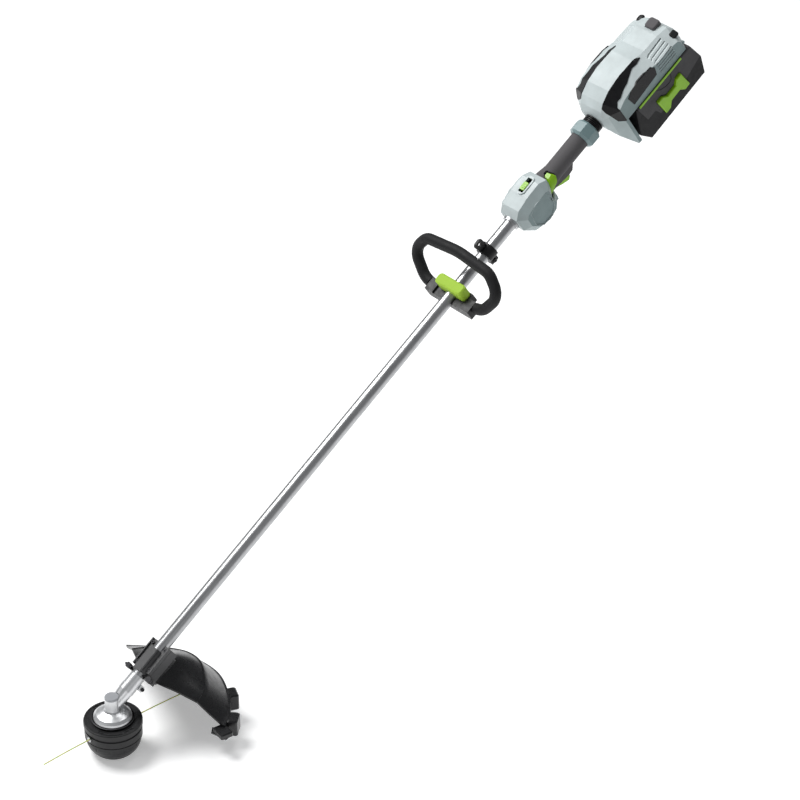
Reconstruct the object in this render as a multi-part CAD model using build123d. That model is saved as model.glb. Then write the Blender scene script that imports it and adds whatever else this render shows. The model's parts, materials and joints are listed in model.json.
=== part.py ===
from build123d import *
import os
from math import cos, radians, sin

# A battery string trimmer. All sizes are in mm and all angles in degrees.
# The row frame stands on the ground under the spindle: +Z runs up the spindle, and +Y points from the
# cutting head towards the operator, the way the shaft climbs. Parts along the shaft are drawn lying flat,
# with +Y along the shaft and +Z square to it, and on_shaft() then tilts them into place.

# Shaft and tube
SHAFT_SLOPE = 33.67
JOINT_HEIGHT = 100.0
TUBE_RADIUS = 13.0
TUBE_WALL = 1.5
TUBE_START = 50.0
TUBE_END = 1482.0
DRIVE_SHAFT_RADIUS = 4.0
BUSHING_PLACES = (200.0, 450.0, 700.0, 950.0, 1200.0)
RUNNING = 0.04
SLIP = 0.02

# Bevel gears: both pitch cones meet where the shaft's axis crosses the spindle's
GEAR_TEETH = 16
PINION_TEETH = 12
GEAR_CONE = 76.8
PINION_CONE = 46.87
CONE_OUTER = 10.8
CONE_INNER = 7.0
TOOTH_HALF_WIDTHS = (1.15, 0.72, 0.34)
ADDENDUM_ANGLE = 6.0
DEDENDUM_ANGLE = 9.2

# Cutting head
SPINDLE_RADIUS = 5.0
HEAD_RADIUS = 56.5
HEAD_TOP = 73.0
LINE_HEIGHT = 50.7
LINE_RADIUS = 1.2
LINE_BEND_SHARE = 0.45
LINE_ROUTE = ((57.5, 50.7), (93.0, 50.5), (128.0, 49.4), (163.0, 47.4))
EYELET_BORE = 1.6
KNOB_RADIUS = 43.4
BOSS_RADIUS = 13.8
BOSS_TOP = 121.0

# Guard
GUARD_RIM = (
    (-181.0, 168.0, 60.0),
    (-143.0, 202.0, 62.0),
    (-82.0, 234.0, 64.0),
    (-28.0, 246.0, 65.0),
    (22.0, 244.0, 65.0),
    (76.0, 221.0, 64.0),
    (122.0, 188.0, 61.0),
    (140.0, 159.0, 56.0),
)
GUARD_ROOT = (
    (-22.0, 88.0, 127.0),
    (-23.0, 100.0, 136.0),
    (-22.0, 116.0, 146.0),
    (-9.0, 132.0, 156.0),
    (9.0, 132.0, 156.0),
    (22.0, 116.0, 146.0),
    (23.0, 100.0, 136.0),
    (22.0, 88.0, 127.0),
)
GUARD_WALL = 3.2
GUARD_LIP = 22.0
GUARD_CROWN = 9.0
BLADE_SCREWS = ((136.0, 150.0), (151.0, 153.5))

# Guard bracket
BRACKET_START = 84.0
BRACKET_END = 152.0
BRACKET_HALF_WIDTH = 25.0
CAP_HALF_WIDTH = 11.0
CAP_END = 137.0
CAP_TOP = 16.5
CLAMP_SCREW_SIDES = (-18.6, 18.6)
CLAMP_SCREW_PLACES = (98.0, 144.0)
KNOB_SIDE = 31.5
KNOB_PLACE = 81.5

# Front loop handle and strap hanger
LOOP_PLACE = 1036.0
LOOP_LEAN = 40.0
LOOP_TUBE_RADIUS = 8.5
LOOP_GRIP_RADIUS = 11.5
LOOP_HALF = ((36.0, -14.0), (84.0, -4.0), (122.0, 42.0), (90.0, 79.0), (0.0, 88.0))
LOOP_BENDS = (40.0, 30.0, 30.0)
LOOP_CROWN_BEND = 160.0
GRIP_START_SHARE = 0.62
LOOP_SCREW_SIDES = (-27.0, 27.0)
LOOP_CAP_HALF_WIDTH = 37.0
LOOP_CAP_TOP = 27.0
HANGER_PLACE = 1139.0
STRAP_EYE = (1134.5, 32.7)
STRAP_EYE_RADIUS = 4.25

# Switch housing, grip and rear housing, as (along, up) outlines
SWITCH_OUTLINE = (
    (1217, -17), (1217, 17), (1231, 31), (1262, 37), (1298, 38), (1316, 27),
    (1316, -30), (1302, -48), (1270, -56), (1238, -46),
)
SWITCH_HALF_WIDTH = 38.0
SWITCH_FACET = 15.0
PANEL_OUTLINE = (
    (1244, 12), (1262, 22), (1292, 20), (1300, 4), (1296, -22), (1280, -38), (1254, -36), (1240, -18),
)
LEVER_OUTLINE = (
    (1299, -12), (1308, -12), (1320, -3), (1331, 3), (1337, 13), (1332, 20), (1322, 19), (1313, 6),
    (1299, -3),
)
LEVER_POCKET = (
    (1296, -14), (1309, -14), (1321, -5), (1333, 1), (1340, 13), (1334, 23), (1320, 22), (1311, 8),
    (1296, -1),
)
LEVER_PIVOT = (22.0, 1303.0)
TRIGGER_OUTLINE = (
    (1303, -22), (1313, -20), (1322, -19), (1350, -23), (1366, -30), (1367.5, -38),
    (1361, -44), (1346, -38), (1330, -29), (1318, -28), (1304, -33),
)
TRIGGER_PIVOT = (1308.0, -28.0)
GRIP_START = 1316.5
GRIP_END = 1430.0
GRIP_RADIUS = 19.0
REAR_OUTLINE = (
    (1478, -8), (1478, 18), (1486, 36), (1499, 49), (1524, 60), (1558, 65), (1601, 63), (1632, 54.5),
    (1673, 53), (1700, 47), (1711, 30), (1714, -2), (1514.5, -2), (1514.5, -76), (1505, -76), (1487, -38),
)
REAR_PLAN = (
    (24, 1474), (42, 1488), (61, 1507), (61, 1740), (-61, 1740), (-61, 1507), (-42, 1488), (-24, 1474),
)
REAR_HALF_WIDTH = 61.0
FACET_ACROSS = 32.0
FACET_DOWN = 17.0
SKIRT_TOP = -1.5
SHELL_WALL = 2.6
INSET_DEPTH = 1.4
CRESCENT_LOW = 29.5
BADGE_LOW = 45.0
CRESCENT_OUTLINE = (
    (1616, 57), (1594, 70), (1558, 72), (1520, 68), (1494, 60), (1490, 34), (1497, 6), (1510, -1),
    (1509, 39), (1518, 45.5), (1544, 53), (1566, 57), (1588, 60),
)
BADGE_OUTLINE = (
    (1541, 12), (1536, 37), (1549, 46), (1571, 49.5), (1592, 48.5), (1613, 44), (1619, 36), (1615, 18),
)
VENT_ROWS = ((46.9, 49.6), (42.9, 44.9), (38.8, 40.8), (34.0, 37.0), (26.6, 29.6), (19.2, 22.2), (11.8, 14.8))
VENT_START = 1625.0
VENT_END = 1674.0
MOTOR_START = 1490.0

# Small screws of both housings, as (head seat's half-width, along, up)
BOSS_POST_RADIUS = 4.6
SWITCH_SCREWS = ((SWITCH_HALF_WIDTH - 12, 1244, 20), (SWITCH_HALF_WIDTH - 8, 1252, -37))
REAR_SCREWS = ((REAR_HALF_WIDTH - 5, 1509, -60), (REAR_HALF_WIDTH - 5, 1700, 12))

# Battery pack
PACK_OUTLINE = (
    (1536, -3), (1706, -3), (1716, -50), (1705, -91), (1534, -94), (1517, -64),
)
PACK_FACE = 62.0
LATCH_OUTLINE = (
    (1582, -34), (1597, -34), (1608, -44), (1634, -43), (1643, -32), (1657, -31),
    (1663, -72), (1648, -73), (1637, -61), (1610, -62), (1601, -74), (1587, -75),
)
LATCH_TRAVEL = 4.0
STRIPE_OUTLINE = ((1545, -3), (1676, -3), (1676, -7.5), (1545, -7.5))
RAIL_PLACES = (1548, 1688)
BLADE_PLACES = (1600, 1612, 1624, 1636)


def rod_x(radius, start, end, y=0.0, z=0.0):
    """A round bar across the shaft."""
    return Pos((start + end) / 2, y, z) * Rot(0, 90, 0) * Cylinder(radius, end - start)


def rod_y(radius, start, end, x=0.0, z=0.0):
    """A round bar along the shaft."""
    return Pos(x, (start + end) / 2, z) * Rot(-90, 0, 0) * Cylinder(radius, end - start)


def rod_z(radius, start, end, x=0.0, y=0.0):
    """An upright round bar."""
    return Pos(x, y, (start + end) / 2) * Cylinder(radius, end - start)


def taper_y(start_radius, end_radius, start, end):
    """A round taper along the shaft."""
    return Pos(0, (start + end) / 2, 0) * Rot(-90, 0, 0) * Cone(start_radius, end_radius, end - start)


def block(x, y, z):
    """A box between three (low, high) pairs."""
    low, high = zip(x, y, z)
    size = [b - a for a, b in zip(low, high)]
    centre = [(a + b) / 2 for a, b in zip(low, high)]
    return Pos(*centre) * Box(*size)


def turned(corners):
    """A solid turned about Z from (radius, height) corners."""
    return revolve(Plane.XZ * make_face(Polyline(*corners, close=True)), Axis.Z)


def side_face(corners):
    """A flat face in the shaft's upright plane from (along, up) corners."""
    return Plane.YZ * make_face(Polyline(*corners, close=True))


def side_plate(corners, low, high):
    """A side outline thickened across the shaft from low to high."""
    return Pos(low, 0, 0) * extrude(side_face(corners), amount=high - low)


def both_sides(shape):
    """A shape and its mirror image across the shaft's upright plane."""
    return [shape, mirror(shape, about=Plane.YZ)]


def on_shaft(shape):
    """Tilts a shape drawn along +Y onto the shaft."""
    return Pos(0, 0, JOINT_HEIGHT) * Rot(SHAFT_SLOPE, 0, 0) * shape


# ---- bevel gears ----


def bevel_teeth(count, cone, first_turn, axis_up, radial_zero, radial_side):
    """Straight teeth on a pitch cone that opens along axis_up from the frame's origin."""
    teeth = []
    for index in range(count):
        turn = radians(first_turn + 360.0 * index / count)
        radial = radial_zero * cos(turn) + radial_side * sin(turn)
        across = radial_side * cos(turn) - radial_zero * sin(turn)
        along = axis_up * cos(radians(cone)) + radial * sin(radians(cone))
        outward = radial * cos(radians(cone)) - axis_up * sin(radians(cone))
        rows = (-DEDENDUM_ANGLE, 0.0, ADDENDUM_ANGLE)
        faces = []
        for distance in (CONE_INNER, CONE_OUTER):
            scale = distance / CONE_OUTER
            left = []
            right = []
            for row, half in zip(rows, TOOTH_HALF_WIDTHS):
                middle = along * distance + outward * (distance * sin(radians(row)) / cos(radians(row)))
                left.append(middle - across * (half * scale))
                right.append(middle + across * (half * scale))
            faces.append(make_face(Polyline(*left, *reversed(right), close=True)))
        teeth.append(loft(faces, ruled=True))
    return teeth


def cone_point(cone, distance):
    """The (radius, along-axis) place at a distance down a cone."""
    return distance * sin(radians(cone)), distance * cos(radians(cone))


def bevel_gear():
    """The wheel on the spindle, teeth up, below where the two axes meet."""
    root = GEAR_CONE - DEDENDUM_ANGLE + 0.8
    outer_r, outer_drop = cone_point(root, CONE_OUTER)
    inner_r, inner_drop = cone_point(root, CONE_INNER)
    body = turned(
        [
            (SPINDLE_RADIUS + SLIP, 91.8),
            (8.6, 91.8),
            (outer_r, JOINT_HEIGHT - outer_drop - 2.2),
            (outer_r, JOINT_HEIGHT - outer_drop),
            (inner_r, JOINT_HEIGHT - inner_drop),
            (SPINDLE_RADIUS + SLIP, JOINT_HEIGHT - inner_drop),
        ]
    )
    down = Vector(0, 0, -1)
    teeth = bevel_teeth(GEAR_TEETH, GEAR_CONE, 0.0, down, Vector(0, 1, 0), Vector(1, 0, 0))
    return body + [Pos(0, 0, JOINT_HEIGHT) * tooth for tooth in teeth]


def bevel_pinion():
    """The small gear on the drive shaft's lower end."""
    root = PINION_CONE - DEDENDUM_ANGLE + 0.8
    outer_r, outer_along = cone_point(root, CONE_OUTER)
    inner_r, inner_along = cone_point(root, CONE_INNER)
    profile = [
        (0, inner_along), (inner_r, inner_along), (outer_r, outer_along),
        (7.2, outer_along + 0.8), (7.2, 13.0), (0, 13.0),
    ]
    body = Rot(-90, 0, 0) * turned(profile)
    bore = rod_y(DRIVE_SHAFT_RADIUS + SLIP, 9.0, 14.0)
    along, back = Vector(0, 1, 0), Vector(0, 0, -1)
    teeth = bevel_teeth(PINION_TEETH, PINION_CONE, 180.0 / PINION_TEETH, along, back, Vector(1, 0, 0))
    return body + teeth - bore


# ---- gear case, drawn in the row frame ----


def gear_case():
    """A casting with a dome over the head, a boss over the gears and a socket for the tube."""
    dome = turned(
        [
            (0, 76), (36, 76), (37.5, 78.5), (36.6, 82), (31.5, 86.5), (23, 90.5),
            (16.5, 93), (BOSS_RADIUS, 96), (BOSS_RADIUS, BOSS_TOP), (0, BOSS_TOP),
        ]
    )
    neck = on_shaft(taper_y(12.6, 15.6, 2, 39) + rod_y(16.2, 39, 51) + rod_y(15.6, 51, 76))
    chamber = rod_z(13.0 + SLIP, 75, 91.4) + rod_z(11.6, 91, BOSS_TOP + 1)
    shaft_bore = rod_y(9.5 + SLIP, 2, 37) + rod_y(8, 36, 51) + rod_y(TUBE_RADIUS + SLIP, TUBE_START, 80)
    lug = on_shaft(block((-15, 15), (55, 67), (-21, -10)))
    screw_way = on_shaft(rod_x(2.6, -20, 20, 61, -18))
    case = dome + neck + lug - chamber - rod_z(BOSS_RADIUS + 0.1, BOSS_TOP, 135)
    return case - on_shaft(shaft_bore) - screw_way


def gear_case_cap():
    """The lid that closes the boss over the gears."""
    plug = [(0, 119.6), (9.8, 119.6), (9.8, BOSS_TOP)]
    lid = [(BOSS_RADIUS, BOSS_TOP), (BOSS_RADIUS, 124.5), (12.6, 125.8), (0, 126.2)]
    return turned(plug + lid)


def debris_shield():
    """A dished ring under the dome that keeps grass off the spindle."""
    return turned([(7, 74.2), (40.5, 74.2), (41.5, 77.6), (39.6, 78), (38.4, 75.8), (7, 75.8)])


def spindle_bearings():
    """Two ball bearings that carry the spindle."""
    ring = [(SPINDLE_RADIUS + RUNNING, 76.1), (13.0, 76.1), (13.0, 83), (SPINDLE_RADIUS + RUNNING, 83)]
    lower = turned(ring)
    return Compound([lower, Pos(0, 0, 7.6) * lower])


def pinion_bearings():
    """Two ball bearings that carry the drive shaft's lower end."""
    ring = rod_y(9.5, 14, 20) - rod_y(DRIVE_SHAFT_RADIUS + RUNNING, 13, 21)
    return Compound([ring, Pos(0, 15, 0) * ring])


# ---- cutting head, drawn in the row frame ----


def spindle():
    """The steel output shaft with its drive collar."""
    shaft = rod_z(SPINDLE_RADIUS, 25, 96.8)
    return shaft + rod_z(17.5, 68.2, 73.2)


def head_housing():
    """The upper half of the spool housing, a stepped drum hung from the collar."""
    drum = turned(
        [
            (SPINDLE_RADIUS + SLIP, 30), (8, 30), (8, 64), (20, 64), (20, 67.5), (51, 67.5), (51, 40.2),
            (53.4, 40.2), (55.4, 42), (55.4, 55), (53.4, 56.5), (53.4, 60), (HEAD_RADIUS, 61.5),
            (HEAD_RADIUS, 70.5), (54, HEAD_TOP), (18, HEAD_TOP), (18, 68.1), (SPINDLE_RADIUS + SLIP, 68.1),
        ]
    )
    eyelet_holes = rod_y(4 + SLIP, -60, 60, 0, LINE_HEIGHT) - rod_y(5, -45, 45, 0, LINE_HEIGHT)
    slots = []
    for turn in range(0, 360, 60):
        for radius in (45.0, 49.5):
            slots.append(Rot(0, 0, turn) * block((radius - 1, radius + 1), (-10, 10), (72, 74)))
    return drum - eyelet_holes - slots


def head_cover():
    """The clip-on lower cover, open in the middle for the bump knob."""
    shell = turned(
        [
            (50.4, 40), (55.2, 40), (55.2, 36.5), (53, 35), (53, 30), (52, 24), (49.5, 17), (46.5, 12),
            (44.2, 12), (46.9, 17.5), (49.4, 24), (50.4, 30),
        ]
    )
    dents = [Rot(0, 0, turn) * rod_z(5, 14, 33, 57) for turn in range(15, 360, 30)]
    return shell - dents


def line_eyelets():
    """The two metal eyelets that the cutting lines run out through."""
    eyelet = rod_y(4, 51.5, 56, 0, LINE_HEIGHT) + rod_y(5.4, 55.6, 57.5, 0, LINE_HEIGHT)
    eyelet -= rod_y(EYELET_BORE, 50, 60, 0, LINE_HEIGHT)
    return Compound([eyelet, Rot(0, 0, 180) * eyelet])


def cutting_line(side):
    """One stretch of cutting line, out of its eyelet and sagging a little to its tip."""
    points = [(0, side * reach, height) for reach, height in LINE_ROUTE]
    radii = []
    for before, corner, after in zip(points, points[1:], points[2:]):
        into = Vector(*corner) - Vector(*before)
        out = Vector(*after) - Vector(*corner)
        half_turn = radians(into.get_angle(out) / 2)
        radii.append(LINE_BEND_SHARE * min(into.length, out.length) * cos(half_turn) / sin(half_turn))
    print("cutting line bend radii, mm:", [round(radius) for radius in radii])
    path = FilletPolyline(*points, radius=radii)
    section = Plane(path @ 0, z_dir=path % 0) * Circle(LINE_RADIUS)
    return sweep(section, path)


def spool():
    """The reel that holds the spare line, with three flanges."""
    return turned(
        [
            (8.4, 18), (16, 18), (16, 19), (46.6, 19), (46.6, 21.5), (15, 21.5), (15, 38.6), (46.6, 38.6),
            (46.6, 40.2), (15, 40.2), (15, 57), (46.6, 57), (46.6, 59), (12.4, 59), (12.4, 26), (8.4, 26),
        ]
    )


def wound_line():
    """The two windings of spare line on the spool."""
    lower = turned([(15.05, 21.6), (39, 21.6), (41, 24), (41.5, 30), (41, 36), (39, 38.5), (15.05, 38.5)])
    upper = turned([(15.05, 40.3), (39, 40.3), (41, 43), (41.5, 48.5), (41, 54), (39, 56.9), (15.05, 56.9)])
    return Compound([lower, upper])


def bump_knob():
    """The button under the spool that is tapped on the ground to feed line."""
    profile = [(0, 0), (30, 0), (37.5, 2.2), (42, 6.5), (KNOB_RADIUS, 12), (KNOB_RADIUS, 17.8), (0, 17.8)]
    knob = turned(profile)
    return knob - rod_z(34, 9, 18) + rod_z(15, 8.5, 17.8)


def bump_spring():
    """The spring that pushes the spool and its knob down."""
    path = Pos(0, 0, 27.2) * Helix(pitch=5.0, height=35.0, radius=10.2)
    section = Plane(path @ 0, z_dir=path % 0) * Circle(0.8)
    return sweep(section, path, is_frenet=True)


# ---- guard ----


def guard_section(root, rim):
    """One upright slice of the guard from its root to its rim and down the lip."""
    root, rim = Vector(*root), Vector(*rim)
    up = Vector(0, 0, 1)
    inward = (root - rim).normalized()
    level = Vector(inward.X, inward.Y, 0).normalized()
    crown = root * 0.42 + rim * 0.58 + up * GUARD_CROWN
    inner_crown = crown - up * GUARD_WALL
    outside = [root, crown, rim, rim - up * GUARD_LIP]
    inside = [
        rim - up * GUARD_LIP + level * GUARD_WALL,
        rim - up * GUARD_WALL * 1.2 + level * GUARD_WALL,
        inner_crown,
        root - up * GUARD_WALL,
    ]
    return make_face(Polyline(*outside, *inside, close=True))


def guard_shield():
    """The moulded canopy behind the head, on a saddle under its bracket, with lugs on its left rim."""
    sections = [guard_section(root, rim) for root, rim in zip(GUARD_ROOT, GUARD_RIM)]
    panels = [loft([a, b], ruled=True) for a, b in zip(sections, sections[1:])]
    saddle = on_shaft(block((-25, 25), (84, 144), (-30, -22.5)))
    rear_lug = Pos(73, 231, 43) * Rot(0, 0, -24) * Box(30, 20, 36)
    front_lug = Pos(133, 186, 41) * Rot(0, 0, -50) * Box(32, 20, 36)
    corner = Pos(143, 152, 46) * Rot(0, 0, -8) * Box(34, 26, 12)
    screw_ways = blade_screw_ways()
    body = panels[0]
    for panel in panels[1:]:
        body = body + panel
    return body + saddle + rear_lug + front_lug + corner - screw_ways


def blade_screw_ways():
    """The two holes that take the blade's screws."""
    return [rod_z(2.0 + SLIP, 36, 51, x, y) for x, y in BLADE_SCREWS]


def line_cutter_blade():
    """The steel blade under the guard's corner that trims the line to length."""
    plate = Pos(136, 148, 39.1) * Rot(0, 0, 14) * Box(46, 17, 1.6)
    edge = Pos(113.5, 142.4, 39.1) * Rot(0, 0, 44) * Box(9, 24, 3)
    return plate - edge - blade_screw_ways()


def screw(head_radius, shank_radius, length, head_height):
    """A pan-head screw pointing down, with its head's seat at the origin."""
    head = rod_z(head_radius, 0, head_height) - rod_z(head_radius * 0.45, head_height * 0.45, head_height + 1)
    return head + rod_z(shank_radius, -length, 0)


def blade_screws():
    """The two screws that hold the blade, put in from below."""
    one = Rot(180, 0, 0) * screw(3.6, 2.0, 10.5, 2.4)
    return Compound([Pos(x, y, 38.3) * one for x, y in BLADE_SCREWS])


# ---- shaft and guard bracket, drawn along the shaft ----


def shaft_tube():
    """The long aluminium tube."""
    return rod_y(TUBE_RADIUS, TUBE_START, TUBE_END) - rod_y(
        TUBE_RADIUS - TUBE_WALL, TUBE_START - 1, TUBE_END + 1
    )


def shaft_bushings():
    """The plastic bushings inside the tube that steady the drive shaft."""
    rings = []
    for place in BUSHING_PLACES:
        ring = rod_y(TUBE_RADIUS - TUBE_WALL - SLIP, place - 12, place + 12)
        rings.append(ring - rod_y(DRIVE_SHAFT_RADIUS + RUNNING, place - 13, place + 13))
    return Compound(rings)


def drive_shaft():
    """The long steel bar from the motor down to the pinion."""
    return rod_y(DRIVE_SHAFT_RADIUS, 9.2, MOTOR_START + 20.5)


def bracket_upper():
    """The flat-topped upper half of the guard's clamp, with a rib along each wing."""
    half = BRACKET_HALF_WIDTH
    cap = block((-CAP_HALF_WIDTH, CAP_HALF_WIDTH), (BRACKET_START, CAP_END), (0.3, CAP_TOP))
    cap = chamfer(cap.edges().filter_by(Axis.Y).group_by(Axis.Z)[-1], 2)
    wings = block((-half, half), (BRACKET_START + 6, BRACKET_END), (0.3, 5))
    ribs = both_sides(block((half - 2.5, half), (BRACKET_START + 6, BRACKET_END), (4, 9)))
    saddle = rod_y(TUBE_RADIUS + 2.2, BRACKET_START, CAP_END) & block((-20, 20), (80, 160), (0.3, 20))
    return cap + wings + ribs + saddle - rod_y(TUBE_RADIUS + SLIP, 80, 160) - clamp_screw_ways()


def bracket_lower():
    """The lower half of the guard's clamp, with two ears at its front."""
    half = BRACKET_HALF_WIDTH
    base = block((-half, half), (BRACKET_START - 4, BRACKET_END), (-22.5, -0.3))
    base = chamfer(base.edges().filter_by(Axis.Y).group_by(Axis.Z)[-1], 1)
    ears = block((-37, 37), (77, 86), (-13, -1))
    ears = fillet(ears.edges().filter_by(Axis.Y), 3)
    knob_ways = [rod_z(2.5 + SLIP, -14, 0, side * KNOB_SIDE, KNOB_PLACE) for side in (-1, 1)]
    cuts = rod_y(TUBE_RADIUS + SLIP, 76, 160) + rod_y(16.3, 75, 84)
    return base + ears - cuts - clamp_screw_ways() - knob_ways


def clamp_screw_ways():
    """The four holes through the clamp's wings."""
    return [rod_z(2.5 + SLIP, -24, 8, x, s) for x in CLAMP_SCREW_SIDES for s in CLAMP_SCREW_PLACES]


def bracket_knobs():
    """The two thumb screws in the clamp's ears."""
    knob = rod_z(5.5, -1, 7) + rod_z(2.5, -12.5, 0)
    knob += block((-9, 9), (-2, 2), (-0.2, 6))
    return Compound([Pos(side * KNOB_SIDE, KNOB_PLACE, 0) * knob for side in (-1, 1)])


def clamp_screws():
    """The clamp's four screws, and the one that locks the tube in the gear case."""
    one = screw(3.6, 2.5, 27, 3.0)
    clamp = [Pos(x, s, 5) * one for x in CLAMP_SCREW_SIDES for s in CLAMP_SCREW_PLACES]
    lock = Pos(15, 61, -18) * Rot(0, 90, 0) * one
    return Compound(clamp + [lock])


# ---- loop handle, drawn along the shaft ----


def loop_frame(point):
    """A place on the loop's leaning plane, from (across, up) to the shaft's own frame."""
    across, up = point
    lean = radians(LOOP_LEAN)
    return Vector(across, LOOP_PLACE + up * sin(lean), up * cos(lean))


def loop_path(points, bends):
    """The loop's centre line through mirrored points."""
    right = [loop_frame(point) for point in points]
    left = [loop_frame((-x, up)) for x, up in reversed(points[:-1])]
    return FilletPolyline(*right, *left, radius=[*bends, LOOP_CROWN_BEND, *reversed(bends)])


def loop_tube():
    """The bent tube at the heart of the loop handle."""
    path = loop_path(LOOP_HALF, LOOP_BENDS)
    return sweep(Plane(path @ 0, z_dir=path % 0) * Circle(LOOP_TUBE_RADIUS), path)


def loop_grip():
    """The foam sleeve over the loop, open at its two lower ends."""
    low_end, first_bend = (Vector(*point, 0) for point in LOOP_HALF[:2])
    start = low_end + (first_bend - low_end) * GRIP_START_SHARE
    points = ((start.X, start.Y), *LOOP_HALF[1:])
    path = loop_path(points, LOOP_BENDS)
    plane = Plane(path @ 0, z_dir=path % 0)
    ring = plane * (Circle(LOOP_GRIP_RADIUS) - Circle(LOOP_TUBE_RADIUS + SLIP))
    return sweep(ring, path)


def loop_clamp_base():
    """The black lower half of the loop's clamp, with a socket for each end of the loop."""
    saddle = block((-40, 40), (LOOP_PLACE - 20, LOOP_PLACE + 15), (-22, -0.4))
    arms = block((-62, 62), (LOOP_PLACE - 24, LOOP_PLACE + 3), (-24, 4))
    arms -= block((-40.5, 40.5), (LOOP_PLACE - 30, LOOP_PLACE + 30), (-0.4, 10))
    body = fillet((saddle + arms).edges().filter_by(Axis.Y).group_by(Axis.Z)[0], 5)
    ways = [rod_z(2.5 + SLIP, -23, 2, x, LOOP_PLACE + 8) for x in LOOP_SCREW_SIDES]
    return body - rod_y(TUBE_RADIUS + RUNNING, LOOP_PLACE - 40, LOOP_PLACE + 40) - loop_tube_way() - ways


def loop_tube_way():
    """The bore that the loop's two ends sit in."""
    path = loop_path(LOOP_HALF, LOOP_BENDS)
    return sweep(Plane(path @ 0, z_dir=path % 0) * Circle(LOOP_TUBE_RADIUS + SLIP), path)


def loop_clamp_cap():
    """The green upper half of the loop's clamp, a pad with rounded corners."""
    half = LOOP_CAP_HALF_WIDTH
    cap = block((-half, half), (LOOP_PLACE - 8, LOOP_PLACE + 15), (0, LOOP_CAP_TOP))
    cap = fillet(cap.edges().filter_by(Axis.Z), 8)
    cap = chamfer(cap.faces().sort_by(Axis.Z)[-1].edges(), 2.5)
    ways = [rod_z(2.5 + SLIP, -2, 14, x, LOOP_PLACE + 8) for x in LOOP_SCREW_SIDES]
    return cap - rod_y(TUBE_RADIUS + RUNNING, LOOP_PLACE - 20, LOOP_PLACE + 20) - ways


def loop_screws():
    """The two screws that draw the loop's clamp together, put in from below."""
    one = Rot(180, 0, 0) * screw(4.4, 2.5, 34, 3.5)
    return Compound([Pos(x, LOOP_PLACE + 8, -22) * one for x in LOOP_SCREW_SIDES])


# ---- strap hanger, drawn along the shaft ----


def hanger_clamp():
    """A split ring on the tube with an eye plate above and a screw lug below."""
    ring = rod_y(18, HANGER_PLACE - 11, HANGER_PLACE + 11)
    eye = side_plate([(1128, 10), (1147, 10), (1144.5, 38), (1139, 43), (1128, 42), (1123.5, 36)], -2.5, 2.5)
    lugs = block((-6.5, 6.5), (HANGER_PLACE - 9, HANGER_PLACE + 9), (-31, -10))
    along, up = STRAP_EYE
    cuts = rod_y(TUBE_RADIUS + RUNNING, HANGER_PLACE - 20, HANGER_PLACE + 20)
    cuts += block((-0.9, 0.9), (HANGER_PLACE - 20, HANGER_PLACE + 20), (-40, -10))
    cuts += rod_x(2.0 + SLIP, -10, 10, HANGER_PLACE, -25) + rod_x(STRAP_EYE_RADIUS, -5, 5, along, up)
    return ring + eye + lugs - cuts


def hanger_screw():
    """The screw that closes the hanger's ring."""
    return Pos(6.5, HANGER_PLACE, -25) * Rot(0, 90, 0) * screw(4.2, 2.0, 14, 3.6)


# ---- switch housing, drawn along the shaft ----


def facet_block(face, half_width, down, across, square_below=-200.0):
    """A side outline thickened to both sides, its outer corners cut back above a given height."""
    body = Pos(-half_width, 0, 0) * extrude(face, amount=2 * half_width)
    for end in (0, -1):
        rim = body.faces().sort_by(Axis.X)[end]
        edges = [edge for edge in rim.edges() if edge.bounding_box().max.Z > square_below]
        body = chamfer(edges, down, across, reference=rim)
    return body


def switch_block(growth):
    """The switch housing's outer form, grown by an amount all round."""
    face = offset(side_face(SWITCH_OUTLINE), amount=growth, kind=Kind.INTERSECTION)
    return facet_block(face, SWITCH_HALF_WIDTH + growth, SWITCH_FACET, SWITCH_FACET)


def switch_shell():
    """The whole switch housing before it is split along the middle."""
    shell = switch_block(0) - switch_block(-SHELL_WALL)
    boss = Pos(0, 1283, 33) * extrude(SlotOverall(44, 20, rotation=90), amount=6.4)
    ribs = [
        block((low, high), (1302, 1314), (-34, -22)) for low, high in ((8.6, 26), (-26, -8.6))
    ]
    cuts = rod_y(TUBE_RADIUS + SLIP, 1200, 1330) + block((-6.2, 6.2), (1266, 1300), (28, 42))
    cuts += rod_x(2.6, -12.4, 12.4, *TRIGGER_PIVOT) + block((-8.4, 8.4), (1299, 1320), (-46, -14))
    cuts += side_plate(LEVER_POCKET, 12, 40)
    panels = both_sides(side_plate(PANEL_OUTLINE, SWITCH_HALF_WIDTH - 1.2, SWITCH_HALF_WIDTH + 2))
    shell += [rod_x(BOSS_POST_RADIUS, -x - 1, x + 1, s, n) for x, s, n in SWITCH_SCREWS]
    return shell + boss + ribs - cuts - panels - housing_screw_ways()


def switch_housing(side):
    """One half of the switch housing."""
    low, high = sorted((0.0, side * 60.0))
    return switch_shell() & block((low, high), (1200, 1330), (-70, 60))


def tube_ring():
    """The bright ring where the tube enters the switch housing."""
    return rod_y(17.5, 1211, 1217) - rod_y(TUBE_RADIUS + SLIP, 1210, 1218)


def speed_slider():
    """The green two-position speed switch on top of the housing."""
    cap = block((-5.6, 5.6), (1271, 1289), (36.2, 41.2))
    cap = fillet(cap.edges().filter_by(Axis.Z), 2.5)
    ridges = [block((-4, 4), (s, s + 1.2), (40, 42)) for s in (1275, 1279, 1283)]
    return cap + block((-3, 3), (1274, 1286), (28, 37)) + ridges


def lock_off_lever():
    """The green lever on the grip's side that frees the trigger."""
    plate = side_plate(LEVER_OUTLINE, 6, 30)
    sleeve = rod_y(26.5, 1290, 1345) - rod_y(20.4, 1289, 1346)
    return (plate & sleeve) + rod_z(2.6, -13, -3, *LEVER_PIVOT)


def trigger():
    """The green trigger under the grip, on its own two pins."""
    blade = side_plate(TRIGGER_OUTLINE, -7.8, 7.8)
    return blade + rod_x(2.55, -12, 12, *TRIGGER_PIVOT)


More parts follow.
